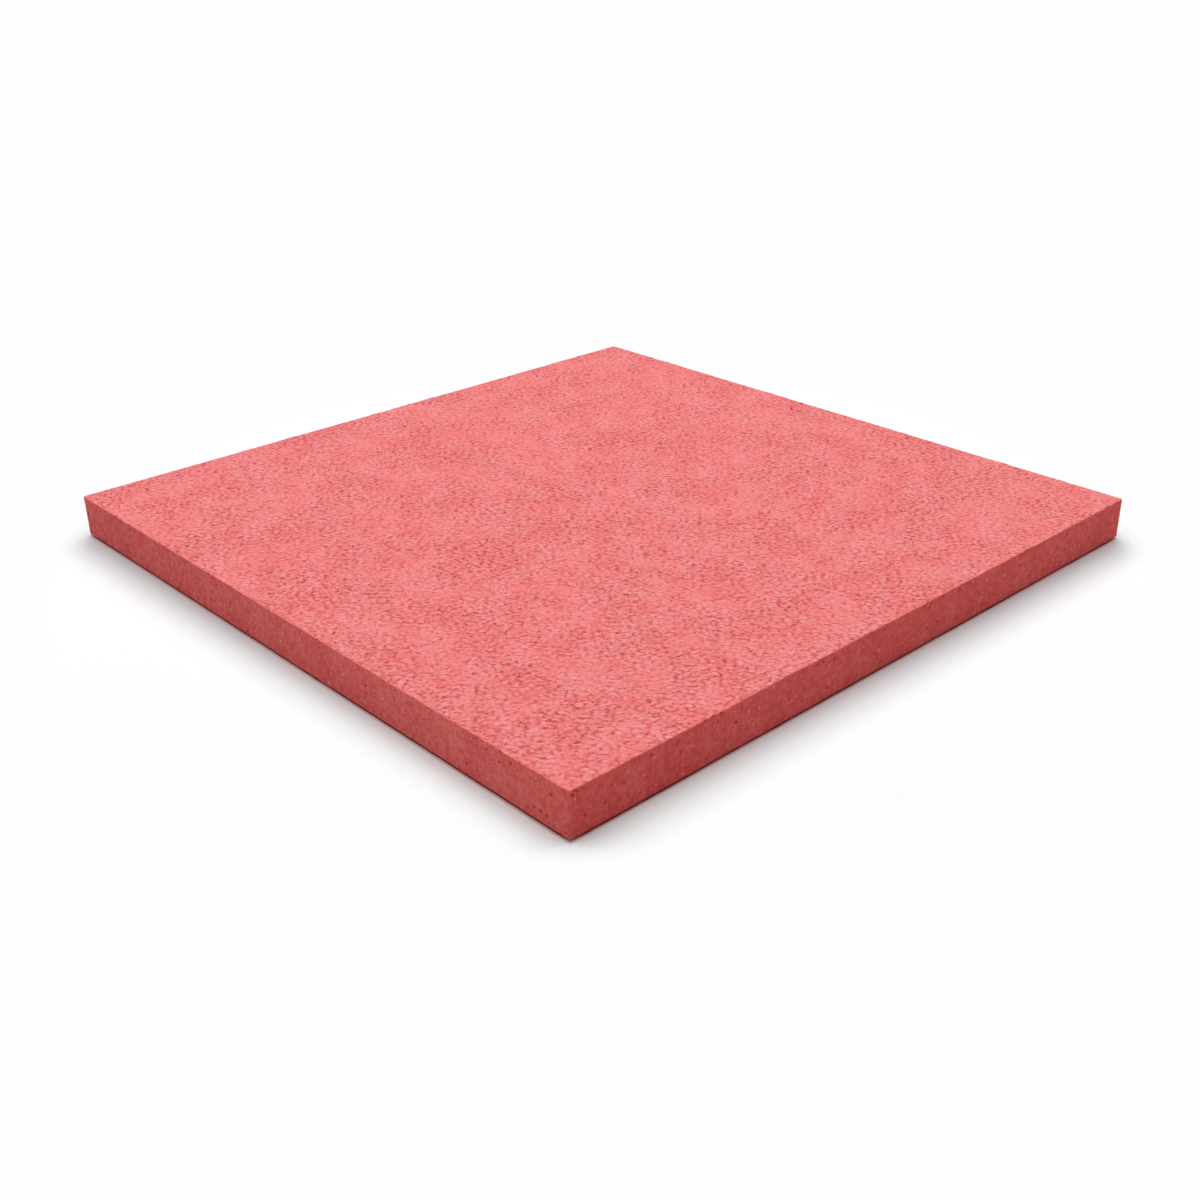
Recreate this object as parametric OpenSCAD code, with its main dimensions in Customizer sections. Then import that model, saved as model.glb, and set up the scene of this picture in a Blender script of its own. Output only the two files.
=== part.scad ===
// Flat pillar cap: one slab of cast concrete, square in plan, bedded in mortar on top
// of a masonry pillar. Its edges overhang the pillar, and a drip groove runs round the
// underside, so that rain falls off the overhang before it reaches the masonry.
// The origin is the centre of the underside, +Z is up and the front side faces -Y.

/* [Slab] */
// Width of the cap, along X
cap_w = 600; // [400:10:750]
// Depth of the cap, along Y
cap_d = 600; // [400:10:750]
// Thickness, from the bedding face up to the top face
cap_t = 35; // [25:1:75]

/* [Arrises] */
// Chamfer on the four upright corner edges
corner_arris = 1.5; // [0.5:0.1:5]
// Chamfer on the four edges round the top face
top_arris = 0.6; // [0.2:0.1:3]
// Chamfer on the four edges round the underside
under_arris = 2; // [0.5:0.1:5]

/* [Drip groove] */
// Radius of the half-round groove, which is also its depth
groove_r = 5; // [3:0.5:8]
// Distance from a side of the cap to the middle of the groove
groove_inset = 30; // [15:1:60]

/* [Hidden] */

cap_colour = [0.86, 0.43, 0.43];
// Facets of a true round
round_fn = 64;
// How far a cutting solid runs past the face that it cuts
overrun = 1;
// Half-lengths of the rectangle that the middle of the groove follows
groove_half_w = cap_w / 2 - groove_inset;
groove_half_d = cap_d / 2 - groove_inset;

// A w by h rectangle from y = 0 up, centred on x = 0, with 45 degree chamfers on its
// lower and upper corners
module chamfered_outline(w, h, lower, upper) {
    polygon([
        [-w / 2 + lower, 0], [w / 2 - lower, 0],
        [w / 2, lower], [w / 2, h - upper],
        [w / 2 - upper, h], [-w / 2 + upper, h],
        [-w / 2, h - upper], [-w / 2, lower]
    ]);
}

// The slab with all its arrises: what the plan, the front elevation and the side
// elevation have in common
module slab() {
    intersection() {
        linear_extrude(cap_t)
            translate([0, -cap_d / 2])
                chamfered_outline(cap_w, cap_d, corner_arris, corner_arris);
        rotate([90, 0, 0])
            linear_extrude(cap_d + 2 * overrun, center = true)
                chamfered_outline(cap_w, cap_t, under_arris, top_arris);
        rotate([90, 0, 90])
            linear_extrude(cap_w + 2 * overrun, center = true)
                chamfered_outline(cap_d, cap_t, under_arris, top_arris);
    }
}

// Round bars of the given length along X, in the middle of the front and back grooves
module bars_along_x(length) {
    for (y = [-groove_half_d, groove_half_d])
        translate([0, y, 0])
            rotate([0, 90, 0])
                cylinder(r = groove_r, h = length, center = true, $fn = round_fn);
}

// The same along Y, in the middle of the left and right grooves
module bars_along_y(length) {
    for (x = [-groove_half_w, groove_half_w])
        translate([x, 0, 0])
            rotate([90, 0, 0])
                cylinder(r = groove_r, h = length, center = true, $fn = round_fn);
}

// The groove all the way round. Each straight run stops at the middle of its corners,
// and what two crossing bars have in common closes the corner with a mitre.
module drip_groove() {
    bars_along_x(2 * groove_half_w);
    bars_along_y(2 * groove_half_d);
    intersection() {
        bars_along_x(cap_w);
        bars_along_y(cap_d);
    }
}

module pillar_cap() {
    color(cap_colour)
        difference() {
            slab();
            drip_groove();
        }
}

pillar_cap();
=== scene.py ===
# %% [markdown]
# # A flat pillar cap of red concrete
#
# The real object is one slab, cast in a mould. It has a pebbled top, four smooth cast
# sides and a plain underside with a drip groove. Its shape and sizes come from a packed
# CAD model. This lesson gives that model its real surface: relief in the mesh, finer
# relief and colour in procedural materials, and a soft studio around it.

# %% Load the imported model
import math

import bpy
import numpy as np
from mathutils import Matrix, Vector


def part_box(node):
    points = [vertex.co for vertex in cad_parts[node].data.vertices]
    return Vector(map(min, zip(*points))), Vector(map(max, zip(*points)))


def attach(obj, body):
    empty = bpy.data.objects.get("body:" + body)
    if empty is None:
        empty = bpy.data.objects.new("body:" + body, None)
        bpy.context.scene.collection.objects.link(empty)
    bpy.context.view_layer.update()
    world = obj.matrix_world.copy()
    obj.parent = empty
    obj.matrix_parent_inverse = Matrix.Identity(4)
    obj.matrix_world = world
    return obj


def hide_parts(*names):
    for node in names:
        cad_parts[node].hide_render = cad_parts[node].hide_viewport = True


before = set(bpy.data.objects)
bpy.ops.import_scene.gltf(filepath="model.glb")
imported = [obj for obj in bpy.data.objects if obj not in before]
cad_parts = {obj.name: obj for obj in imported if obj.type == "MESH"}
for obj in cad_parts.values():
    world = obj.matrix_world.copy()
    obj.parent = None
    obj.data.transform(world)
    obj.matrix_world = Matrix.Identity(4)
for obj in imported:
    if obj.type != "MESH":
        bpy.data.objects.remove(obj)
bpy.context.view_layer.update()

CAD_NODE = "pillar_cap"
MM = 0.001
low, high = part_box(CAD_NODE)
WIDTH, DEPTH, THICKNESS = high - low
print(f"cap: {WIDTH / MM:.0f} x {DEPTH / MM:.0f} x {THICKNESS / MM:.0f} mm")

# %% [markdown]
# ## The camera
#
# A slab this flat is best shown corner on, from a little above, so that the top and two
# sides are seen at once. The camera is placed as on a turntable: it turns by an azimuth,
# tilts by an elevation, stands back, and then slides in its own plane to frame the cap.

# %% Place the camera
CAMERA_AZIMUTH = math.radians(-43.47)
CAMERA_ELEVATION = math.radians(26.58)
CAMERA_ROLL = math.radians(-0.45)
CAMERA_DISTANCE = 2.0 * WIDTH
CAMERA_SLIDE = Vector((0.0343 * WIDTH, -0.0874 * WIDTH, 0.0))
LENS_MM = 43.6
SENSOR_MM = 36.0
FRAMING_SHIFT = -0.02

camera_data = bpy.data.cameras.new("studio_camera")
camera_data.lens = LENS_MM
camera_data.sensor_width = SENSOR_MM
camera_data.shift_x = FRAMING_SHIFT
camera = bpy.data.objects.new("studio_camera", camera_data)
bpy.context.scene.collection.objects.link(camera)
bpy.context.scene.camera = camera

turn = Matrix.Rotation(CAMERA_AZIMUTH, 4, "Z")
tilt = Matrix.Rotation(math.pi / 2 - CAMERA_ELEVATION, 4, "X")
stand_back = Matrix.Translation((0, 0, CAMERA_DISTANCE))
roll = Matrix.Rotation(CAMERA_ROLL, 4, "Z")
camera.matrix_world = turn @ tilt @ stand_back @ roll @ Matrix.Translation(CAMERA_SLIDE)
print(f"camera at {[round(v, 3) for v in camera.matrix_world.translation]}")

# %% [markdown]
# ## The net of the slab
#
# The slab could start as a cube with a bevel, but a pebbled top needs real relief, and
# relief needs many small squares. So the mesh is tied like a net: a fine grid for the
# top, then square rings of points that run down the sides, round the lower arris and in
# through the half-round drip groove, and last a coarser grid that closes the underside.
# Because every ring is a square, the groove gets its mitred corners by itself, and the
# whole cap is one closed skin, as a cast piece is.

# %% Sizes of the arrises and the drip groove
TOP_ARRIS = 0.6 * MM
CORNER_ARRIS = 1.5 * MM
UNDER_ARRIS = 2.0 * MM
GROOVE_RADIUS = 5.0 * MM
GROOVE_INSET = 30.0 * MM

print(f"groove: {2 * GROOVE_RADIUS / MM:.0f} mm wide, {GROOVE_INSET / MM:.0f} mm in from the side")

# %% Columns of the net
TOP_COLUMNS = 280
COARSER = 4


def column_places(length, every=1):
    """Distances along a side: a narrow column at each end and even ones between."""
    even = np.linspace(CORNER_ARRIS, length - CORNER_ARRIS, TOP_COLUMNS - 1)
    return np.concatenate([[0.0], even, [length]])[::every]


print(f"a square of the top is {np.diff(column_places(WIDTH))[1] / MM:.2f} mm wide")

# %% Store of points, with the way each one may sink
SIDE_NORMALS = np.array([(0, -1), (1, 0), (0, 1), (-1, 0)], float)
points, inward, zones, faces, finishes = [], [], [], [], []


def add_points(places, sink_ways, pebbles=0.0, wear=0.0, waver=0.0):
    """Adds points to the net. The three zones say which relief reaches them."""
    first = len(points)
    points.extend(places)
    inward.extend(sink_ways)
    zones.extend([(pebbles, wear, waver)] * len(places))
    return np.arange(first, len(points))


# %% A square ring of points
def square_ring(inset, z, sink_z, every=1, pull=0.0, **zone):
    """A loop round the slab, counter-clockwise from its front left corner.

    inset is the distance from the slab's sides and pull is how far the corner points
    are drawn in. sink_z is the upright part of the way in: -1 is down and 1 is up.
    """
    half = np.array([WIDTH / 2 - inset, DEPTH / 2 - inset])
    corners = np.array([(-1, -1), (1, -1), (1, 1), (-1, 1)]) * half
    places, ways = [], []
    for side in range(4):
        start, end = corners[side], corners[(side + 1) % 4]
        length = np.linalg.norm(end - start)
        along = column_places(length, every)[:-1, None]
        run = start + (end - start) * along / length
        way = np.tile(-SIDE_NORMALS[side], (len(run), 1))
        way[0] -= SIDE_NORMALS[side - 1]
        run[0] -= np.sign(start) * pull
        places.append(run)
        ways.append(way)
    flat = np.concatenate(places)
    sink = np.column_stack([np.concatenate(ways), np.full(len(flat), sink_z)])
    sink /= np.linalg.norm(sink, axis=1)[:, None]
    return add_points(np.column_stack([flat, np.full(len(flat), z)]), sink, **zone)


print(f"a ring has {4 * TOP_COLUMNS} points, and a coarser one {4 * TOP_COLUMNS // COARSER}")

# %% A grid, and the loop round its edge
def square_grid(inset, z, sink_z, every=1, **zone):
    """A flat grid of points, as an array of their numbers."""
    across = column_places(WIDTH - 2 * inset, every) - (WIDTH / 2 - inset)
    along = column_places(DEPTH - 2 * inset, every) - (DEPTH / 2 - inset)
    x, y = np.meshgrid(across, along, indexing="ij")
    places = np.column_stack([x.ravel(), y.ravel(), np.full(x.size, z)])
    numbers = add_points(places, np.tile((0, 0, sink_z), (x.size, 1)), **zone)
    return numbers.reshape(x.shape)


def loop_round(grid):
    """The edge of a grid, in the same order as a ring."""
    return np.concatenate([grid[:-1, 0], grid[-1, :-1], grid[:0:-1, -1], grid[0, :0:-1]])


print(f"the grid of the top has {(TOP_COLUMNS + 1) ** 2} points")

# %% Tie points into faces
def tie_grid(grid, finish, downward=False):
    quads = np.stack([grid[:-1, :-1], grid[1:, :-1], grid[1:, 1:], grid[:-1, 1:]], axis=-1)
    quads = quads.reshape(-1, 4)
    faces.extend(quads[:, ::-1] if downward else quads)
    finishes.extend([finish] * len(quads))


def tie_rings(outer, inner, finish):
    quads = np.column_stack([outer, inner, np.roll(inner, -1), np.roll(outer, -1)])
    faces.extend(quads)
    finishes.extend([finish] * len(quads))


def tie_to_coarser(fine, coarse, finish):
    """Joins a fine loop to one with fewer points by fans of triangles."""
    fine = np.append(fine, fine[0])
    coarse = np.append(coarse, coarse[0])
    half = COARSER // 2
    for k in range(len(coarse) - 1):
        run = fine[k * COARSER: (k + 1) * COARSER + 1]
        near = [(run[i], coarse[k], run[i + 1]) for i in range(half)]
        far = [(run[i], coarse[k + 1], run[i + 1]) for i in range(half, COARSER)]
        fan = near + [(run[half], coarse[k], coarse[k + 1])] + far
        faces.extend(fan)
        finishes.extend([finish] * len(fan))


print(f"a fan ties {COARSER} fine columns to one with {COARSER + 1} triangles")

# %% Tie the top and the sides
TOP, SIDE, UNDER = range(3)
SIDE_ROWS = 7

top_grid = square_grid(TOP_ARRIS, THICKNESS, -1, pebbles=1.0)
loop = loop_round(top_grid)
side_heights = np.linspace(THICKNESS - TOP_ARRIS, UNDER_ARRIS, SIDE_ROWS + 1)
tie_grid(top_grid, TOP)
for number, z in enumerate(side_heights):
    share = dict(wear=1.0) if number == 0 else dict(waver=1.0)
    ring = square_ring(0.0, z, 0.0, pull=CORNER_ARRIS / 2, **share)
    tie_rings(loop, ring, SIDE)
    loop = ring
ring = square_ring(UNDER_ARRIS, 0.0, 1.0)
tie_rings(loop, ring, SIDE)
print(f"a square of the sides is {(side_heights[0] - side_heights[1]) / MM:.1f} mm high")

# %% Tie the underside
REDUCING_INSET = 12.0 * MM
GROOVE_STEPS = 8

loop = square_ring(REDUCING_INSET, 0.0, 1.0, every=COARSER)
tie_to_coarser(ring, loop, UNDER)
for angle in np.linspace(0, math.pi, GROOVE_STEPS + 1)[:-1]:
    ring = square_ring(
        GROOVE_INSET - GROOVE_RADIUS * math.cos(angle),
        GROOVE_RADIUS * math.sin(angle),
        1.0,
        every=COARSER,
    )
    tie_rings(loop, ring, UNDER)
    loop = ring
middle_grid = square_grid(GROOVE_INSET + GROOVE_RADIUS, 0.0, 1, every=COARSER)
tie_rings(loop, loop_round(middle_grid), UNDER)
tie_grid(middle_grid, UNDER, downward=True)
print(f"faces on top, sides and underside: {[finishes.count(f) for f in (TOP, SIDE, UNDER)]}")

# %% Make the mesh
cap_mesh = bpy.data.meshes.new("cap_cast")
cap_mesh.from_pydata([tuple(p) for p in points], [], [tuple(map(int, f)) for f in faces])
cap_mesh.polygons.foreach_set("material_index", finishes)
cap_mesh.polygons.foreach_set("use_smooth", [True] * len(faces))
for name, values in (("inward", inward), ("zones", zones)):
    layer = cap_mesh.attributes.new(name, "FLOAT_VECTOR", "POINT")
    layer.data.foreach_set("vector", np.asarray(values, np.float32).ravel())
cap = bpy.data.objects.new("cap_cast", cap_mesh)
bpy.context.scene.collection.objects.link(cap)
triangles = sum(len(f) - 2 for f in faces)
print(f"net: {len(points)} points, {len(faces)} faces, {triangles} triangles")

# %% [markdown]
# ### Crisp arrises
#
# Smooth shading blends the top's light into the sides' across an edge, which makes a
# slab look like soap. A real arris breaks the light in a line. So the edges of the
# arrises and of the groove are marked sharp, and only what lies between them is smooth.

# %% Mark the sharp edges
SHARP_ANGLE = math.radians(30)
cap_mesh.set_sharp_from_angle(angle=SHARP_ANGLE)
sharp = np.zeros(len(cap_mesh.edges), bool)
cap_mesh.attributes["sharp_edge"].data.foreach_get("value", sharp)
print(f"sharp edges: {sharp.sum()}")

# %% [markdown]
# ## A bench for tying nodes
#
# Relief in the mesh and colour in the material have to agree: a dimple must be dark
# where it is deep. Geometry Nodes and shaders have the same texture nodes, so one
# helper that adds nodes to either kind of tree lets both use the very same pattern.

# %% The bench
MIDDLE_OF_NOISE = (0.5, 0.5, 0.5)


class Bench:
    """Adds nodes to one tree. A node's inputs may be numbers, colours or sockets."""

    def __init__(self, tree):
        self.tree = tree

    def put(self, kind, inputs=(), **settings):
        node = self.tree.nodes.new(kind)
        for name, value in settings.items():
            setattr(node, name, value)
        for name, value in dict(inputs).items():
            if isinstance(value, bpy.types.NodeSocket):
                self.tree.links.new(value, node.inputs[name])
            elif value is not None:
                node.inputs[name].default_value = value
        return node

    def math(self, operation, first, second=None, clamp=False):
        inputs = {0: first, 1: second}
        return self.put("ShaderNodeMath", inputs, operation=operation, use_clamp=clamp).outputs[0]

    def vector(self, operation, first, second=None):
        inputs = {0: first, 1: second}
        return self.put("ShaderNodeVectorMath", inputs, operation=operation).outputs[0]

    def scaled(self, vector, amount):
        inputs = {0: vector, "Scale": amount}
        return self.put("ShaderNodeVectorMath", inputs, operation="SCALE").outputs[0]

    def length(self, vector):
        return self.put("ShaderNodeVectorMath", {0: vector}, operation="LENGTH").outputs["Value"]

    def parts(self, vector):
        return self.put("ShaderNodeSeparateXYZ", {0: vector}).outputs

    def fade(self, value, start, end, low=0.0, high=1.0):
        """low until value reaches start, high from end on, and an easy curve between."""
        names = ("Value", "From Min", "From Max", "To Min", "To Max")
        inputs = dict(zip(names, (value, start, end, low, high)))
        return self.put("ShaderNodeMapRange", inputs, interpolation_type="SMOOTHSTEP").outputs[0]

    def noise_node(self, place, per_metre, detail, roughness, distortion, flat):
        inputs = {
            "Vector": place,
            "Scale": per_metre,
            "Detail": detail,
            "Roughness": roughness,
            "Distortion": distortion,
        }
        dimensions = "2D" if flat else "3D"
        return self.put("ShaderNodeTexNoise", inputs, noise_dimensions=dimensions)

    def noise(self, place, per_metre, detail=0.0, roughness=0.5, distortion=0.0, flat=False):
        """Cloudy values round 0.5, with so many clouds to the metre."""
        return self.noise_node(place, per_metre, detail, roughness, distortion, flat).outputs[0]

    def wobbled(self, place, per_metre, reach, flat=False):
        """The place, pushed about by noise by up to half of reach each way."""
        node = self.noise_node(place, per_metre, detail=1.0, roughness=0.5, distortion=0.0, flat=flat)
        centred = self.vector("SUBTRACT", node.outputs[1], MIDDLE_OF_NOISE)
        return self.vector("ADD", place, self.scaled(centred, reach))

    def mix_colour(self, share, first, second, blend="MIX"):
        """A Mix node keeps its two colours in inputs 6 and 7, and the mix in output 2."""
        inputs = {0: share, 6: first, 7: second}
        return self.put("ShaderNodeMix", inputs, data_type="RGBA", blend_type=blend).outputs[2]


# %% [markdown]
# ## The pebbled relief
#
# The top was cast against a pebbled mould face, so it is covered in shallow dimples a
# few millimetres across, close together in some places and sparse in others. Noise cut
# off at a level leaves such dimples: what lies under the level sinks, and the rest stays
# level. A second, broader noise sets how strongly each patch of the face is dimpled. The
# marks are longer along one diagonal of the face than across it, so the place that the
# noise reads is turned and drawn out that way.

# %% Pattern of the pebbled face
MARK_ANGLE = math.pi / 4
PATCH_CELL = 55 * MM
PATCH_LEAST = 0.60
PATCH_BAND = (0.36, 0.60)
DIMPLE_CELL = 4.0 * MM
DIMPLE_STRETCH = (1.8, 1.0)
DIMPLE_EDGE = 0.56
DIMPLE_FLOOR = 0.30


def drawn_out(bench, place, stretch):
    """The place for a pattern whose marks are stretched along the diagonal and across it."""
    inputs = {"Vector": place, "Angle": MARK_ANGLE}
    turned = bench.put("ShaderNodeVectorRotate", inputs, rotation_type="Z_AXIS").outputs[0]
    return bench.vector("DIVIDE", turned, (*stretch, 1.0))


def pebble_pattern(bench, place):
    """The depth of the dimples and the strength of the patch, both 0 to 1."""
    broad = bench.noise(place, 1 / PATCH_CELL, detail=2.0, flat=True)
    patch = bench.fade(broad, *PATCH_BAND, PATCH_LEAST, 1.0)
    along = drawn_out(bench, place, DIMPLE_STRETCH)
    cloud = bench.noise(along, 1 / DIMPLE_CELL, detail=0.6, distortion=0.35, flat=True)
    dimple = bench.math("MULTIPLY", bench.fade(cloud, DIMPLE_EDGE, DIMPLE_FLOOR), patch)
    return dimple, patch


print(f"dimples about {2 * DIMPLE_CELL / MM:.0f} mm apart, in patches of {2 * PATCH_CELL / MM:.0f} mm")

# %% [markdown]
# ### Sinking the net
#
# A displacement texture would move points only along their normals and would round off
# the arrises. Here every point has its own way in, so three reliefs can share one node
# tree: the pebbled top sinks straight down, the top arris wears slantwise, and the sides
# waver by a fraction of a millimetre. The relief only ever goes inward, and so the cap
# keeps its outer size.

# %% How broad and how deep the reliefs are
DIMPLE_DEPTH = 0.65 * MM
SWELL_CELL = 17 * MM
SWELL_BAND = (0.75, 0.25)
SWELL_DEPTH = 0.5 * MM
WEAR_CELL = 7 * MM
WEAR_BAND = (0.5, 0.25)
WEAR_DEPTH = 0.5 * MM
WAVER_CELL = 22 * MM
WAVER_BAND = (0.7, 0.3)
WAVER_DEPTH = 0.25 * MM

print(f"the top sinks by {(DIMPLE_DEPTH + SWELL_DEPTH) / MM:.2f} mm at most")
print(f"arris and sides sink by {WEAR_DEPTH / MM:.2f} and {WAVER_DEPTH / MM:.2f} mm at most")

# %% Start the relief tree
relief = bpy.data.node_groups.new("cap_relief", "GeometryNodeTree")
relief.interface.new_socket("Geometry", in_out="INPUT", socket_type="NodeSocketGeometry")
relief.interface.new_socket("Geometry", in_out="OUTPUT", socket_type="NodeSocketGeometry")
bench = Bench(relief)
group_in = bench.put("NodeGroupInput")
group_out = bench.put("NodeGroupOutput")
place = bench.put("GeometryNodeInputPosition").outputs[0]
way = bench.put("GeometryNodeInputNamedAttribute", {"Name": "inward"}, data_type="FLOAT_VECTOR")
zone = bench.put("GeometryNodeInputNamedAttribute", {"Name": "zones"}, data_type="FLOAT_VECTOR")
print(f"relief tree so far: {len(relief.nodes)} nodes")

# %% Sink the mesh by the patterns
dimple, _ = pebble_pattern(bench, place)
swell = bench.fade(bench.noise(place, 1 / SWELL_CELL, detail=1.0, flat=True), *SWELL_BAND)
wear = bench.fade(bench.noise(place, 1 / WEAR_CELL, detail=2.0), *WEAR_BAND)
waver = bench.fade(bench.noise(place, 1 / WAVER_CELL, detail=1.0), *WAVER_BAND)
pebble_depth = bench.math(
    "ADD",
    bench.math("MULTIPLY", dimple, DIMPLE_DEPTH),
    bench.math("MULTIPLY", swell, SWELL_DEPTH),
)
on_top, on_arris, on_side = bench.parts(zone.outputs[0])
depth = bench.math("MULTIPLY", on_top, pebble_depth)
for share, pattern, most in ((on_arris, wear, WEAR_DEPTH), (on_side, waver, WAVER_DEPTH)):
    amount = bench.math("MULTIPLY", share, bench.math("MULTIPLY", pattern, most))
    depth = bench.math("ADD", depth, amount)
offset = bench.scaled(way.outputs[0], depth)
moved = bench.put("GeometryNodeSetPosition", {"Geometry": group_in.outputs[0], "Offset": offset})
relief.links.new(moved.outputs[0], group_out.inputs[0])

modifier = cap.modifiers.new("cap_relief", "NODES")
modifier.node_group = relief
print(f"relief tree: {len(relief.nodes)} nodes")

# %% Settle the relief in the mesh
depsgraph = bpy.context.evaluated_depsgraph_get()
settled = bpy.data.meshes.new_from_object(cap.evaluated_get(depsgraph))
cap.modifiers.clear()
cap.data = settled
settled.name = "cap_cast"
coordinates = np.empty(len(settled.vertices) * 3, np.float32)
settled.vertices.foreach_get("co", coordinates)
top_heights = coordinates[2::3][top_grid.ravel()]
print(f"top relief: {np.ptp(top_heights) / MM:.2f} mm deep, spread {top_heights.std() / MM:.3f} mm")

# %% [markdown]
# ## Shared effects of the cast concrete
#
# The top, the sides and the underside are one mix of cement, sand and iron-oxide red, so
# they share its effects: clouds where pigment gathered, sand grains, air holes and worn
# arrises. Each effect is a node group with named inputs and outputs, built once and
# placed in each material with that face's own values.

# %% Start a node group
def new_group(name, inputs, outputs):
    """An empty shader group, its bench, its input sockets and its output node."""
    tree = bpy.data.node_groups.new(name, "ShaderNodeTree")
    for direction, sockets in (("INPUT", inputs), ("OUTPUT", outputs)):
        for label, kind in sockets.items():
            tree.interface.new_socket(label, in_out=direction, socket_type="NodeSocket" + kind)
    bench = Bench(tree)
    given = bench.put("NodeGroupInput").outputs
    results = bench.put("NodeGroupOutput")
    print(f"group {name}: {', '.join(inputs)} -> {', '.join(outputs)}")
    return tree, bench, given, results


def give(bench, results, **values):
    """Links each named result, with its underscores read as spaces."""
    for label, value in values.items():
        bench.tree.links.new(value, results.inputs[label.replace("_", " ")])


# %% [markdown]
# ### Clouds of pigment
#
# Iron oxide never spreads quite evenly through a barrow of mix, so the colour drifts
# between a paler and a deeper red. The group takes both colours and also gives out the
# cloud itself, because a face with more cement skin is smoother as well as paler.

# %% Group: clouds of pigment
CLOUD_BAND = (0.33, 0.67)

clouds_group, bench, given, results = new_group(
    "pigment_clouds",
    {"Place": "Vector", "Per Metre": "Float", "Pale": "Color", "Deep": "Color"},
    {"Color": "Color", "Cloud": "Float"},
)
broad = bench.noise(given["Place"], given["Per Metre"], detail=3.0, roughness=0.55, distortion=0.4)
cloud = bench.fade(broad, *CLOUD_BAND)
give(bench, results, Color=bench.mix_colour(cloud, given["Pale"], given["Deep"]), Cloud=cloud)

# %% [markdown]
# ### Sand grains
#
# The grains of sand under the skin of cement show as a fine tooth: some a little paler
# than the red around them, some darker. One noise gives both, from its two tails, and the
# same noise is their height, so that colour and tooth agree.

# %% Group: sand grains
PALE_TAIL = (0.56, 0.74)
DARK_TAIL = (0.44, 0.26)

sand_group, bench, given, results = new_group(
    "sand_grains",
    {"Place": "Vector", "Per Metre": "Float", "Height": "Float"},
    {"Height": "Float", "Pale Grains": "Float", "Dark Grains": "Float"},
)
grain = bench.noise(given["Place"], given["Per Metre"], detail=2.0, roughness=0.6)
give(
    bench,
    results,
    Height=bench.math("MULTIPLY", grain, given["Height"]),
    Pale_Grains=bench.fade(grain, *PALE_TAIL),
    Dark_Grains=bench.fade(grain, *DARK_TAIL),
)

# %% [markdown]
# ### Scattered spots
#
# Air holes and small stones are both spots: here and there, of mixed sizes, none quite
# round. A Voronoi pattern gives each of its cells one centre and one random colour. The
# colour decides whether the cell has a spot at all, how large it is and how strong, and
# a wobble of the place bends its outline. A positive depth makes holes, and a negative
# one makes stones that stand proud.

# %% Group: scattered spots
SPOT_BEND_PER_METRE = 900.0
SPOT_BEND = 0.9 * MM
SPOT_LEAST = 0.14
SPOT_RANGE = 0.20
SPOT_FAINTEST = 0.4
EDGE_BAND = (1.0, 0.4)

spots_group, bench, given, results = new_group(
    "scattered_spots",
    {"Place": "Vector", "Per Metre": "Float", "Share": "Float", "Depth": "Float"},
    {"Spot": "Float", "Height": "Float"},
)
bent = bench.wobbled(given["Place"], SPOT_BEND_PER_METRE, SPOT_BEND)
cells = bench.put("ShaderNodeTexVoronoi", {"Vector": bent, "Scale": given["Per Metre"]})
pick = bench.put("ShaderNodeSeparateColor", {0: cells.outputs["Color"]}).outputs
chosen = bench.math("LESS_THAN", pick[0], given["Share"])
size = bench.math("ADD", bench.math("MULTIPLY", pick[1], SPOT_RANGE), SPOT_LEAST)
round_spot = bench.fade(bench.math("DIVIDE", cells.outputs["Distance"], size), *EDGE_BAND)
strength = bench.fade(pick[2], 0.0, 1.0, SPOT_FAINTEST, 1.0)
spot = bench.math("MULTIPLY", bench.math("MULTIPLY", round_spot, chosen), strength)
sunk = bench.math("MULTIPLY", spot, given["Depth"])
give(bench, results, Spot=spot, Height=bench.math("MULTIPLY", sunk, -1.0))

# %% [markdown]
# ### Worn arrises, with painted highlights
#
# An arris is rubbed paler when a cap is lifted, stacked and set down. On the rim the pale line is
# partly that wear and partly a painted highlight, and on the upright corners it is a painted
# highlight. How near a point is to an arris follows from its place and the sizes of the slab: near the
# top and near a side is the rim, near two sides at once is an upright corner. A noise makes the reach
# of the pale line ragged, because an even one looks drawn.

# %% Group: nearness to an arris, for wear and painted highlight
RAGGED_PER_METRE = 260.0
RAGGED_BAND = (0.35, 0.65)
RAGGED_LEAST = 0.35
PALE_ARRIS_BAND = (1.0, 0.3)

arris_group, bench, given, results = new_group(
    "arris_nearness",
    {"Place": "Vector", "Reach": "Float"},
    {"Rim": "Float", "Corner": "Float"},
)
x, y, _ = bench.parts(bench.vector("ABSOLUTE", given["Place"]))
z = bench.parts(given["Place"])[2]
inside_x = bench.math("SUBTRACT", WIDTH / 2, x)
inside_y = bench.math("SUBTRACT", DEPTH / 2, y)
from_top = bench.math("SUBTRACT", THICKNESS, z)
from_rim = bench.math("ADD", bench.math("MINIMUM", inside_x, inside_y), from_top)
from_corner = bench.math("SUBTRACT", bench.math("ADD", inside_x, inside_y), CORNER_ARRIS)
ragged = bench.noise(given["Place"], RAGGED_PER_METRE, detail=2.0, roughness=0.6)
reach = bench.math("MULTIPLY", given["Reach"], bench.fade(ragged, *RAGGED_BAND, RAGGED_LEAST, 1.0))
give(
    bench,
    results,
    Rim=bench.fade(bench.math("DIVIDE", from_rim, reach), *PALE_ARRIS_BAND),
    Corner=bench.fade(bench.math("DIVIDE", from_corner, reach), *PALE_ARRIS_BAND),
)

# %% [markdown]
# ## The three finishes
#
# Dry concrete scatters light and hardly shines, so every finish is rough with a weak
# highlight, and what tells the faces apart is their colour and their small relief. Each
# face could be a mesh of its own, but a casting has no seams, so all three are slots of
# the one mesh.

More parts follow.
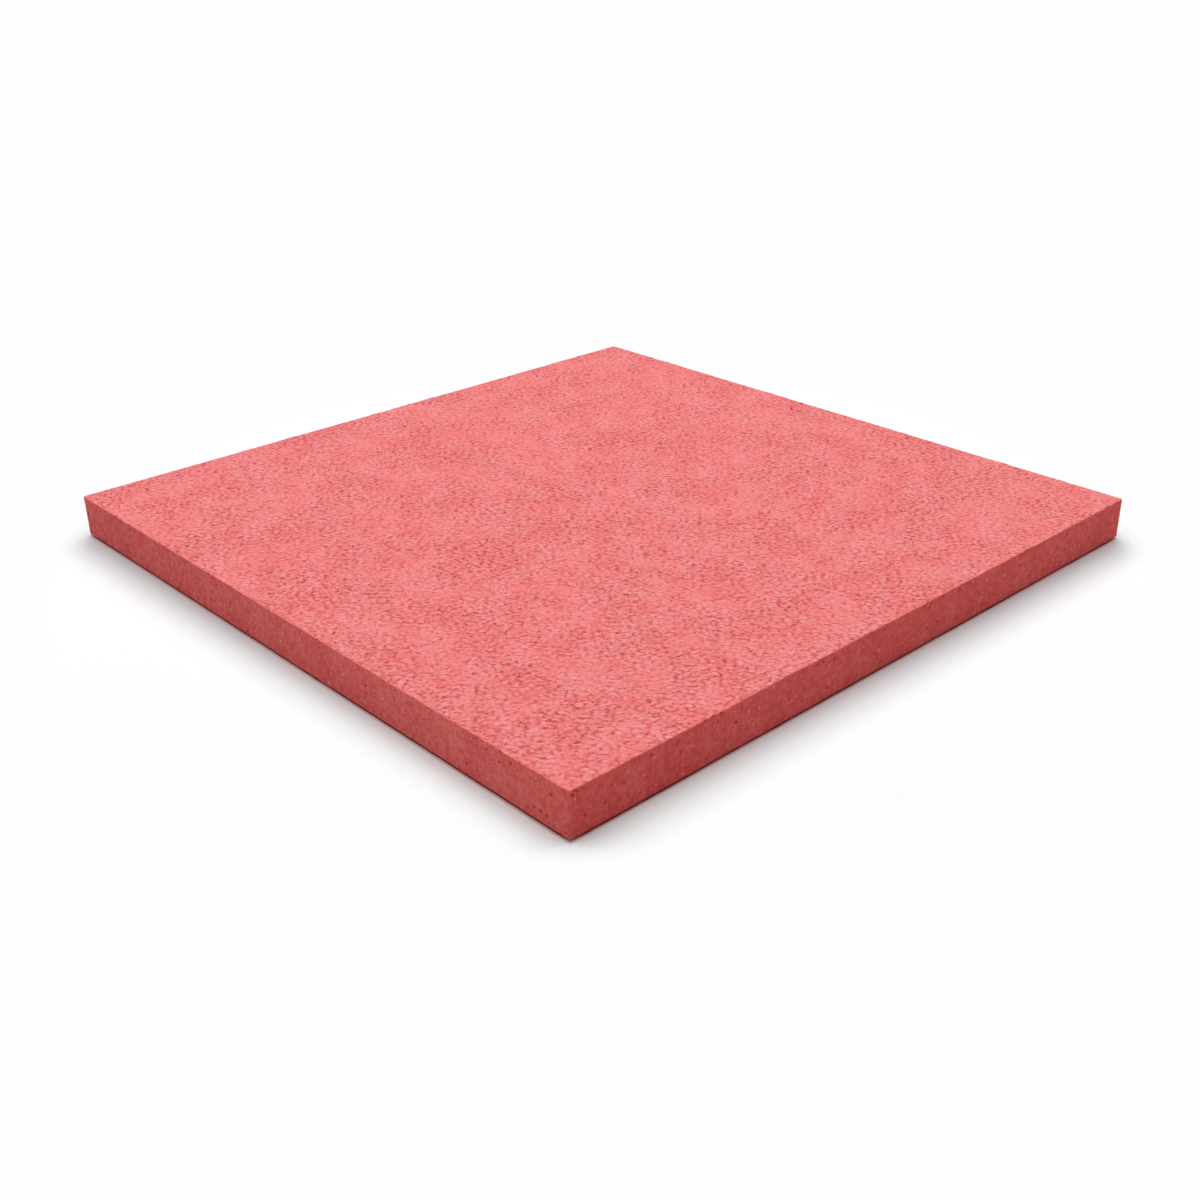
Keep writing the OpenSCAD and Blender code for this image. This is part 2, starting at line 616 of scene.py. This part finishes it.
# %% Colours as on a colour card
def paint(red, green, blue):
    """A colour from 0 to 255 on a colour card, as the light that it sends back."""
    def linear(value):
        # The standard curve of screens, with a short straight piece near black.
        value /= 255
        return value / 12.92 if value <= 0.04045 else ((value + 0.055) / 1.055) ** 2.4
    return (linear(red), linear(green), linear(blue), 1.0)


MIDDLE_GREY = 128
print(f"a middle grey sends back {paint(MIDDLE_GREY, MIDDLE_GREY, MIDDLE_GREY)[0]:.2f} of the light")

# %% Start a material
CONCRETE_SHINE = 0.15
SMOOTHEST = 0.80
ROUGHEST = 0.95


def concrete(name, viewport_colour):
    """A dry concrete material, its bench, its shader and the point on the cap."""
    material = bpy.data.materials.new(name)
    material.use_nodes = True
    material.diffuse_color = viewport_colour
    tree = material.node_tree
    tree.nodes.clear()
    bench = Bench(tree)
    shader = bench.put("ShaderNodeBsdfPrincipled")
    shader.inputs["Specular IOR Level"].default_value = CONCRETE_SHINE
    output = bench.put("ShaderNodeOutputMaterial")
    tree.links.new(shader.outputs[0], output.inputs[0])
    place = bench.put("ShaderNodeTexCoord").outputs["Object"]
    return material, bench, shader, place


def use_group(bench, group, **values):
    """Places a group, with its underscored inputs read as spaces."""
    inputs = {label.replace("_", " "): value for label, value in values.items()}
    node = bench.put("ShaderNodeGroup", node_tree=group)
    for label, value in inputs.items():
        if isinstance(value, bpy.types.NodeSocket):
            bench.tree.links.new(value, node.inputs[label])
        else:
            node.inputs[label].default_value = value
    return node.outputs


def tint(bench, colour, share, mask, second, blend="MIX"):
    """Lays a second colour over the first where a mask says, at most by a share."""
    return bench.mix_colour(bench.math("MULTIPLY", mask, share), colour, second, blend)


def dress(bench, shader, colour, height, rough):
    """Feeds the shader's colour and roughness, and its normal from a height in metres."""
    bump = bench.put("ShaderNodeBump", {"Height": height, "Strength": 1.0, "Distance": 1.0})
    for value, label in ((colour, "Base Color"), (rough, "Roughness"), (bump.outputs[0], "Normal")):
        bench.tree.links.new(value, shader.inputs[label])


print(f"dry concrete: roughness from {SMOOTHEST} to {ROUGHEST}, shine of {CONCRETE_SHINE}")

# %% [markdown]
# ### The pebbled top
#
# Between its dimples the face is all small pits and ridges. They are too fine for the
# squares of the net, so these are bump in the material. Colour goes with height: the pits are painted
# a deeper red, as painted shade, and the ridges are painted paler, partly as wear and partly as
# painted highlight. One red with bump alone would be quicker, but then the face looks flat and even
# under a soft lamp.

# %% Fine pits and ridges
FACE_PALE = paint(243, 137, 137)
FACE_DEEP = paint(239, 122, 122)
FINE_CELL = 3.15 * MM
FINE_STRETCH = (1.1, 0.95)
PIT_BAND = (0.50, 0.28)
RIDGE_BAND = (0.52, 0.74)

face, bench, shader, place = concrete("pebbled_face", FACE_PALE)
dimple, patch = pebble_pattern(bench, place)
along = drawn_out(bench, place, FINE_STRETCH)
fine = bench.noise(along, 1 / FINE_CELL, detail=1.0, roughness=0.55, distortion=0.2, flat=True)
pitted = bench.math("MULTIPLY", bench.fade(fine, *PIT_BAND), patch)
ridged = bench.math("MULTIPLY", bench.fade(fine, *RIDGE_BAND), patch)
print(f"pits about {2 * FINE_CELL / MM:.0f} mm apart")

# %% [markdown]
# ### Creases between the pebbles
#
# Where two pebbles of the mould face met, the concrete has a thin crease. It is painted dark as
# painted shade, with a pale band beside it that is a painted highlight. The borders of Voronoi cells
# are such a net of thin lines. On their own they look
# like dry mud, so the place is bent first, and a broader noise breaks the net into short
# pieces, none of which closes round a cell.

# %% Creases
CREASE_CELL = 4.6 * MM
CREASE_STRETCH = (1.6, 0.95)
CREASE_WIDTH = 0.18
LIP_HIGHLIGHT_RISE = (1.0, 1.7)
LIP_HIGHLIGHT_FALL = (3.0, 1.9)
BEND_CELL = 5 * MM
BEND_REACH = 4 * MM
BREAK_CELL = 10 * MM
BREAK_BAND = (0.48, 0.59)
BREAK_SHIFT = (0.37, 0.19, 0.0)

bent = bench.wobbled(place, 1 / BEND_CELL, BEND_REACH, flat=True)
border = bench.put(
    "ShaderNodeTexVoronoi",
    {"Vector": drawn_out(bench, bent, CREASE_STRETCH), "Scale": 1 / CREASE_CELL},
    voronoi_dimensions="2D",
    feature="DISTANCE_TO_EDGE",
).outputs["Distance"]
elsewhere = bench.vector("ADD", place, BREAK_SHIFT)
broad = bench.noise(elsewhere, 1 / BREAK_CELL, detail=2.0, roughness=0.6, flat=True)
broken = bench.fade(broad, *BREAK_BAND)
crease = bench.math("MULTIPLY", bench.fade(border, CREASE_WIDTH, 0.0), broken)
widths = bench.math("DIVIDE", border, CREASE_WIDTH)
lip_highlight = bench.math("MULTIPLY", bench.fade(widths, *LIP_HIGHLIGHT_RISE), bench.fade(widths, *LIP_HIGHLIGHT_FALL))
lip_highlight = bench.math("MULTIPLY", lip_highlight, broken)
print(f"creases {2 * CREASE_WIDTH * CREASE_CELL / MM:.1f} mm wide")

# %% [markdown]
# ### Colour and height of the top
#
# The colour is laid on from broad to fine, as a painter would. Clouds of pigment come first, then a
# deeper red in all that is sunk, as painted shade. Then comes a paler one: as painted highlight beside
# the creases, partly as wear and partly as painted highlight on the ridges and the rim, and on pale
# grains of sand. The clouds run across the marks of the mould face, the way the mix was spread.
# The same masks, each times a depth, add up to the height that the bump reads, so that
# light and colour tell of the same pits. Ridges are a little smoother than pits.

# %% Clouds, sand and wear of the top
FACE_CLOUDS_PER_METRE = 38.0
FACE_CLOUD_STRETCH = (0.8, 1.35)
FACE_SAND_PER_METRE = 1400.0
FACE_SAND_HEIGHT = 0.05 * MM
FACE_RIM_REACH = 1.5 * MM

clouds = use_group(
    bench,
    clouds_group,
    Place=drawn_out(bench, place, FACE_CLOUD_STRETCH),
    Per_Metre=FACE_CLOUDS_PER_METRE,
    Pale=FACE_PALE,
    Deep=FACE_DEEP,
)
sand = use_group(
    bench,
    sand_group,
    Place=place,
    Per_Metre=FACE_SAND_PER_METRE,
    Height=FACE_SAND_HEIGHT,
)
wear = use_group(bench, arris_group, Place=place, Reach=FACE_RIM_REACH)
print(f"the rim is rubbed for up to {FACE_RIM_REACH / MM:.1f} mm")

# %% Colour of the top
PAINTED_SHADE_RED = (0.60, 0.17, 0.17, 1.0)
PALE_AND_HIGHLIGHT_TINT = paint(255, 186, 184)
DIMPLE_PAINTED_SHADE = 0.12
PIT_PAINTED_SHADE = 0.55
CREASE_PAINTED_SHADE = 0.42
RIDGE_WEAR_AND_HIGHLIGHT_SHARE = 0.29
LIP_HIGHLIGHT_SHARE = 0.30
SAND_SHARE = 0.25
RIM_WEAR_AND_HIGHLIGHT_SHARE = 0.35

# Painted shade: the dimples, pits and creases are painted a deeper red.
pit = bench.math("MULTIPLY", dimple, DIMPLE_PAINTED_SHADE)
pit = bench.math("ADD", pit, bench.math("MULTIPLY", pitted, PIT_PAINTED_SHADE))
pit = bench.math("ADD", pit, bench.math("MULTIPLY", crease, CREASE_PAINTED_SHADE), clamp=True)
colour = bench.mix_colour(pit, clouds["Color"], PAINTED_SHADE_RED, "MULTIPLY")
# Painted highlight beside the creases, partly wear and partly painted highlight on the ridges and the
# rim, and the mix's own pale sand grains.
for share, mask in (
    (RIDGE_WEAR_AND_HIGHLIGHT_SHARE, ridged),
    (LIP_HIGHLIGHT_SHARE, lip_highlight),
    (SAND_SHARE, sand["Pale Grains"]),
    (RIM_WEAR_AND_HIGHLIGHT_SHARE, wear["Rim"]),
):
    colour = tint(bench, colour, share, mask, PALE_AND_HIGHLIGHT_TINT)
print(f"a full pit and crease take {min(1.0, PIT_PAINTED_SHADE + CREASE_PAINTED_SHADE):.0%} of the pit tint")

# %% Height and roughness of the top
PIT_DEPTH = 0.40 * MM
CREASE_DEPTH = 0.15 * MM

height = bench.math("MULTIPLY", bench.math("SUBTRACT", ridged, pitted), PIT_DEPTH)
height = bench.math("SUBTRACT", height, bench.math("MULTIPLY", crease, CREASE_DEPTH))
height = bench.math("ADD", height, sand["Height"])
rough = bench.fade(fine, PIT_BAND[1], RIDGE_BAND[1], ROUGHEST, SMOOTHEST)
dress(bench, shader, colour, height, rough)
print(f"{face.name}: {len(face.node_tree.nodes)} nodes")

# %% [markdown]
# ### The cast sides
#
# The sides came off smooth mould walls and are a deeper red than the top. Their clouds
# stand a little upright, as the wet mix settled, and a fine mottle lies over them. The sides that face
# front and back are painted the deepest red, as painted shade. The other two are painted darker from
# front to back, as painted shade too.

# %% Cloudy red of the sides
SIDE_PALE = paint(253, 127, 122)
SIDE_DEEP = paint(246, 113, 109)
SIDE_CLOUDS_PER_METRE = 45.0
UPRIGHT = (1.0, 1.0, 0.75)
FRONT_BACK_SHADE_TINT = (0.93, 0.76, 0.77, 1.0)
FRONT_BACK_SHADE_START = 3 * MM
FRONT_BACK_SHADE_END = 1 * MM
TOWARDS_BACK_SHADE_TINT = (0.90, 0.81, 0.83, 1.0)
MOTTLE_CELL = 5 * MM
MOTTLE_BAND = (0.35, 0.70)
MOTTLE_TINT = (0.80, 0.57, 0.58, 1.0)
MOTTLE_SHARE = 0.76

sides, bench, shader, place = concrete("cast_sides", SIDE_DEEP)
clouds = use_group(
    bench,
    clouds_group,
    Place=bench.vector("MULTIPLY", place, UPRIGHT),
    Per_Metre=SIDE_CLOUDS_PER_METRE,
    Pale=SIDE_PALE,
    Deep=SIDE_DEEP,
)
# Painted shade: the front and back sides are painted a deeper red, and the other two darker towards
# the back.
y = bench.parts(place)[1]
across = bench.math("ABSOLUTE", y)
front_back_shade = bench.fade(across, DEPTH / 2 - FRONT_BACK_SHADE_START, DEPTH / 2 - FRONT_BACK_SHADE_END)
shaded_towards_back = bench.mix_colour(bench.fade(y, low.y, high.y), clouds["Color"], TOWARDS_BACK_SHADE_TINT, "MULTIPLY")
deep = bench.mix_colour(1.0, clouds["Color"], FRONT_BACK_SHADE_TINT, "MULTIPLY")
mottle = bench.fade(bench.noise(place, 1 / MOTTLE_CELL, detail=3.0, roughness=0.65), *MOTTLE_BAND)
colour = bench.mix_colour(front_back_shade, shaded_towards_back, deep)
colour = tint(bench, colour, MOTTLE_SHARE, mottle, MOTTLE_TINT, "MULTIPLY")
print(f"mottle about {2 * MOTTLE_CELL / MM:.0f} mm apart")

# %% [markdown]
# ### Air holes and stones in the sides
#
# Air that could not leave the mould stayed as small holes, thickest along the top arris, where it was
# caught in the corner of the mould. The holes are painted dark, as painted shade. Small pale stones
# stand a little
# proud of the skin and catch the light. Both are the same group of scattered spots, once
# with a depth and once with a height, read at shifted places so that they don't meet.

# %% Air holes and stones of the sides
HOLES_PER_METRE = 190.0
HOLE_SHARE = 0.25
HOLE_DEPTH = 0.4 * MM
AIR_REACH = 16 * MM
AIR_SHARE = 0.75
STONES_PER_METRE = 220.0
STONE_SHARE = 0.26
STONE_HEIGHT = 0.3 * MM
STONE_SHIFT = (0.21, 0.13, 0.09)

near_top = use_group(bench, arris_group, Place=place, Reach=AIR_REACH)["Rim"]
hole_share = bench.math("ADD", bench.math("MULTIPLY", near_top, AIR_SHARE), HOLE_SHARE)
holes = use_group(
    bench,
    spots_group,
    Place=place,
    Per_Metre=HOLES_PER_METRE,
    Share=hole_share,
    Depth=HOLE_DEPTH,
)
stones = use_group(
    bench,
    spots_group,
    Place=bench.vector("ADD", place, STONE_SHIFT),
    Per_Metre=STONES_PER_METRE,
    Share=STONE_SHARE,
    Depth=-STONE_HEIGHT,
)
print(f"a spot in {HOLE_SHARE:.0%} of the cells for holes and {STONE_SHARE:.0%} of those for stones")

# %% [markdown]
# ### Colour and height of the sides
#
# Sand shows through the cement skin of the sides more plainly than on the top, since its
# grains were pressed against a smooth wall. The arrises come last. The rim is rubbed pale, which is
# partly a painted highlight, and the upright corners get only a hint of painted highlight.

# %% Sand and wear of the sides
SIDE_SAND_PER_METRE = 520.0
SIDE_SAND_HEIGHT = 0.12 * MM
SIDE_RIM_REACH = 2.0 * MM

sand = use_group(
    bench,
    sand_group,
    Place=place,
    Per_Metre=SIDE_SAND_PER_METRE,
    Height=SIDE_SAND_HEIGHT,
)
wear = use_group(bench, arris_group, Place=place, Reach=SIDE_RIM_REACH)
print(f"a grain of sand is about {1 / SIDE_SAND_PER_METRE / MM:.1f} mm wide")

# %% Colour, height and roughness of the sides
HOLE_SHADE_AND_DARK_GRAIN_TINT = (0.62, 0.05, 0.06, 1.0)
PALE_STONE_AND_HIGHLIGHT_TINT = paint(255, 162, 158)
DARK_SAND_SHARE = 0.54
PALE_SAND_SHARE = 0.30
SIDE_RIM_WEAR_AND_HIGHLIGHT_SHARE = 0.5
CORNER_HIGHLIGHT_SHARE = 0.12

# Painted shade: the air holes are painted dark. The dark sand grains are the mix's own.
colour = bench.mix_colour(holes["Spot"], colour, HOLE_SHADE_AND_DARK_GRAIN_TINT, "MULTIPLY")
colour = tint(bench, colour, DARK_SAND_SHARE, sand["Dark Grains"], HOLE_SHADE_AND_DARK_GRAIN_TINT, "MULTIPLY")
colour = tint(bench, colour, PALE_SAND_SHARE, sand["Pale Grains"], PALE_STONE_AND_HIGHLIGHT_TINT)
colour = bench.mix_colour(stones["Spot"], colour, PALE_STONE_AND_HIGHLIGHT_TINT)
# The rim: partly wear, partly painted highlight. The upright corners: painted highlight.
colour = tint(bench, colour, SIDE_RIM_WEAR_AND_HIGHLIGHT_SHARE, wear["Rim"], FACE_PALE)
colour = tint(bench, colour, CORNER_HIGHLIGHT_SHARE, wear["Corner"], PALE_STONE_AND_HIGHLIGHT_TINT)
height = bench.math("ADD", bench.math("ADD", holes["Height"], stones["Height"]), sand["Height"])
rough = bench.fade(mottle, 0.0, 1.0, SMOOTHEST, ROUGHEST)
dress(bench, shader, colour, height, rough)
print(f"{sides.name}: {len(sides.node_tree.nodes)} nodes")

# %% [markdown]
# ### The underside
#
# The back of the mould is open, so the underside was struck off level with a board. It is
# greyer and more open than the cast sides, with the faint long drag marks of the board and
# with wider and deeper air holes.

# %% Clouds, sand and air holes of the underside
UNDER_PALE = paint(228, 130, 125)
UNDER_DEEP = paint(216, 114, 109)
UNDER_CLOUDS_PER_METRE = 35.0
UNDER_SAND_PER_METRE = 700.0
UNDER_SAND_HEIGHT = 0.12 * MM
UNDER_HOLES_PER_METRE = 120.0
UNDER_HOLE_SHARE = 0.35
UNDER_HOLE_DEPTH = 0.7 * MM

under, bench, shader, place = concrete("struck_underside", UNDER_PALE)
clouds = use_group(
    bench,
    clouds_group,
    Place=place,
    Per_Metre=UNDER_CLOUDS_PER_METRE,
    Pale=UNDER_PALE,
    Deep=UNDER_DEEP,
)
sand = use_group(
    bench,
    sand_group,
    Place=place,
    Per_Metre=UNDER_SAND_PER_METRE,
    Height=UNDER_SAND_HEIGHT,
)
holes = use_group(
    bench,
    spots_group,
    Place=place,
    Per_Metre=UNDER_HOLES_PER_METRE,
    Share=UNDER_HOLE_SHARE,
    Depth=UNDER_HOLE_DEPTH,
)
print(f"{under.name}: holes up to {UNDER_HOLE_DEPTH / MM:.1f} mm deep")

# %% Drag marks, colour and height of the underside
DRAG_PER_METRE = 240.0
DRAG_STRETCH = (0.05, 1.0, 1.0)
DRAG_BAND = (0.35, 0.65)
DRAG_SHARE = 0.35
DRAG_DEPTH = 0.2 * MM
UNDER_SAND_SHARE = 0.3

dragged = bench.vector("MULTIPLY", place, DRAG_STRETCH)
drag = bench.fade(bench.noise(dragged, DRAG_PER_METRE, detail=2.0, roughness=0.6), *DRAG_BAND)
colour = tint(bench, clouds["Color"], DRAG_SHARE, drag, UNDER_DEEP)
# Painted shade: the air holes are painted dark.
colour = bench.mix_colour(holes["Spot"], colour, HOLE_SHADE_AND_DARK_GRAIN_TINT, "MULTIPLY")
colour = tint(bench, colour, UNDER_SAND_SHARE, sand["Pale Grains"], PALE_STONE_AND_HIGHLIGHT_TINT)
height = bench.math("ADD", holes["Height"], sand["Height"])
height = bench.math("SUBTRACT", height, bench.math("MULTIPLY", drag, DRAG_DEPTH))
rough = bench.fade(clouds["Cloud"], 0.0, 1.0, SMOOTHEST, ROUGHEST)
dress(bench, shader, colour, height, rough)
print(f"{under.name}: {len(under.node_tree.nodes)} nodes")

# %% Give the cap its three finishes
for material in (face, sides, under):
    cap.data.materials.append(material)
print(f"slots: {[m.name for m in cap.data.materials]}")

# %% [markdown]
# ## The studio
#
# The cap lies on a white floor, under one big soft lamp. What is seen directly of floor
# and world is white, while the light that they send back to the cap stays at a plain
# level, so a colour of the cap is seen about as it was mixed. The world adds only a faint
# fill, which keeps the sides darker than the top.

# %% A switch for what is seen directly
def seen_directly(bench):
    """1 for rays of the camera, of reflections and of glass, and 0 for other light."""
    path = bench.put("ShaderNodeLightPath").outputs
    seen = bench.math("MAXIMUM", path["Is Camera Ray"], path["Is Glossy Ray"])
    return bench.math("MAXIMUM", seen, path["Is Transmission Ray"])


def mix_shaders(bench, share, first, second):
    node = bench.put("ShaderNodeMixShader", {0: share})
    bench.tree.links.new(first.outputs[0], node.inputs[1])
    bench.tree.links.new(second.outputs[0], node.inputs[2])
    return node


# %% The world
STUDIO_WHITE = (0.99, 0.99, 0.99, 1.0)
FILL_WHITE = (1.0, 1.0, 1.0, 1.0)
FILL_STRENGTH = 0.04

world = bpy.data.worlds.new("studio_world")
world.use_nodes = True
bpy.context.scene.world = world
world.node_tree.nodes.clear()
bench = Bench(world.node_tree)
fill = bench.put("ShaderNodeBackground", {"Color": FILL_WHITE, "Strength": FILL_STRENGTH})
white = bench.put("ShaderNodeBackground", {"Color": STUDIO_WHITE, "Strength": 1.0})
mixed = mix_shaders(bench, seen_directly(bench), fill, white)
output = bench.put("ShaderNodeOutputWorld")
world.node_tree.links.new(mixed.outputs[0], output.inputs[0])
print(f"world: fill of {FILL_STRENGTH}")

# %% [markdown]
# ### The floor
#
# A shadow on white paper is cool next to the object and fades into plain white, with a thin dark line
# where the two touch. So the floor's colour is a painted shadow that depends on how far a point is
# from the cap's footprint. First comes a painted dark line of contact. Then comes a painted cool ring
# of shadow that is fainter at the front and back corners than at the left and right ones. Then comes
# white. Both lie over the lamp's real shadow. Left of the front corner and of the back one, as the
# camera sees them, the floor is partly clear and lets some of the white world through. This is painted
# light: it washes out the shadow there as a light wall would. Beyond the corners it is quite clear, so
# that no edge of it stands out, and this washes out the shadow beyond the corners too. The light that
# the floor sends back to the cap is plain all over.

# %% The floor's disc
FLOOR_RADIUS = 3.0
FLOOR_SIDES = 96

floor_mesh = bpy.data.meshes.new("studio_floor")
angles = np.linspace(0, 2 * math.pi, FLOOR_SIDES, endpoint=False)
edge = [(FLOOR_RADIUS * math.cos(a), FLOOR_RADIUS * math.sin(a), low.z) for a in angles]
floor_mesh.from_pydata(edge, [], [tuple(range(FLOOR_SIDES))])
floor = bpy.data.objects.new("studio_floor", floor_mesh)
bpy.context.scene.collection.objects.link(floor)
print(f"floor: {2 * FLOOR_RADIUS:.0f} m wide")

# %% Where a point of the floor lies
floor_paint = bpy.data.materials.new("white_floor")
floor_paint.use_nodes = True
floor_paint.node_tree.nodes.clear()
bench = Bench(floor_paint.node_tree)
place = bench.put("ShaderNodeTexCoord").outputs["Object"]
footprint = (WIDTH / 2, DEPTH / 2, 0.0)
outside = bench.vector("SUBTRACT", bench.vector("ABSOLUTE", place), footprint)
distance = bench.length(bench.vector("MAXIMUM", outside, (0.0, 0.0, 0.0)))
x, y, _ = bench.parts(place)
slant = bench.math("SUBTRACT", x, y)
beside = bench.fade(bench.math("ABSOLUTE", slant), 0.0, WIDTH)
print(f"footprint: {2 * footprint[0] / MM:.0f} x {2 * footprint[1] / MM:.0f} mm")

# %% Colour of the floor that is seen
FLOOR_WHITE = (0.982, 0.982, 0.982, 1.0)
SHADOW_PAINT_FAINT = (0.91, 1.0, 1.0, 1.0)
SHADOW_PAINT_STRONG = (0.75, 0.81, 0.83, 1.0)
SHADOW_PAINT_START = 4 * MM
SHADOW_PAINT_END = 50 * MM
CONTACT_SHADOW_PAINT = (0.72, 0.62, 0.62, 1.0)
CONTACT_SHADOW_START = 0.4 * MM
CONTACT_SHADOW_END = 1.8 * MM

# Painted shadow: a cool ring darkens the floor round the cap, over the lamp's real shadow.
ring = bench.mix_colour(beside, SHADOW_PAINT_FAINT, SHADOW_PAINT_STRONG)
ring = bench.mix_colour(bench.fade(distance, SHADOW_PAINT_START, SHADOW_PAINT_END), ring, FLOOR_WHITE)
# Painted shadow: a dark line of contact along the footprint.
seen = bench.mix_colour(bench.fade(distance, CONTACT_SHADOW_START, CONTACT_SHADOW_END), CONTACT_SHADOW_PAINT, ring)
lit = bench.put("ShaderNodeBsdfDiffuse", {"Color": seen})
print(f"ring of {SHADOW_PAINT_END / MM:.0f} mm round a line of {CONTACT_SHADOW_END / MM:.1f} mm")

# %% Where the floor is clear
BRIGHT_START = 4 * MM
BRIGHT_END = 30 * MM
BRIGHT_MOST = 0.6
BRIGHT_TURN = 60 * MM
CLEAR_START = 0.415
CLEAR_END = 0.45

clear = bench.put("ShaderNodeBsdfTransparent")
# Painted light: near the front and back corners the floor is partly clear, which washes out the
# shadow.
bright = bench.fade(distance, BRIGHT_START, BRIGHT_END, 0.0, BRIGHT_MOST)
bright = bench.math("MULTIPLY", bright, bench.math("SUBTRACT", 1.0, beside))
bright = bench.math("MULTIPLY", bright, bench.fade(slant, BRIGHT_TURN, -BRIGHT_TURN))
# Beyond the corners the floor is clear, which hides its edge and also washes out the shadow there.
gone = bench.fade(bench.length(place), CLEAR_START, CLEAR_END)
faded = mix_shaders(bench, bench.math("MAXIMUM", bright, gone), lit, clear)
print(f"quite clear from {CLEAR_END:.2f} m off the middle")

# %% Light that the floor sends back
FLOOR_BOUNCE = (0.9, 0.9, 0.9, 1.0)

bounce = bench.put("ShaderNodeBsdfDiffuse", {"Color": FLOOR_BOUNCE})
mixed = mix_shaders(bench, seen_directly(bench), bounce, faded)
output = bench.put("ShaderNodeOutputMaterial")
floor_paint.node_tree.links.new(mixed.outputs[0], output.inputs[0])
floor_mesh.materials.append(floor_paint)
print(f"{floor_paint.name}: {len(floor_paint.node_tree.nodes)} nodes")

# %% [markdown]
# ### The lamp
#
# One square lamp hangs high above. It is so large that it spans some seventy degrees of
# the sky, which makes the shadow a soft band about as wide as the slab is thick, and it
# is so high that top and floor are lit evenly from front to back. It stands a little
# behind the cap, so that the slopes of the pits that face the camera are the darker ones.

# %% The lamp
LAMP_HEIGHT = 9.0
LAMP_HALF_SPREAD = 0.69
LAMP_LEAN = (0.27, 0.38)
LAMP_RADIANCE = 3.15

side = 2 * LAMP_HALF_SPREAD * LAMP_HEIGHT
lamp_data = bpy.data.lights.new("overhead_lamp", "AREA")
lamp_data.shape = "SQUARE"
lamp_data.size = side
lamp_data.energy = LAMP_RADIANCE * math.pi * side ** 2
lamp = bpy.data.objects.new("overhead_lamp", lamp_data)
lamp.location = (LAMP_LEAN[0] * LAMP_HEIGHT, LAMP_LEAN[1] * LAMP_HEIGHT, LAMP_HEIGHT)
lamp.visible_camera = False
bpy.context.scene.collection.objects.link(lamp)
print(f"lamp: {side:.1f} m square, {lamp_data.energy:.0f} W")

# %% [markdown]
# ## Handing the cap over
#
# The Standard view shows colours as they were mixed, with no film curve over them. The cap then takes
# the place of its CAD piece.

# %% Show colours as they were mixed
bpy.context.scene.view_settings.view_transform = "Standard"
print(f"view: {bpy.context.scene.view_settings.view_transform}")

# %% Hand the cap to the frame
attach(cap, "root")
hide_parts(CAD_NODE)
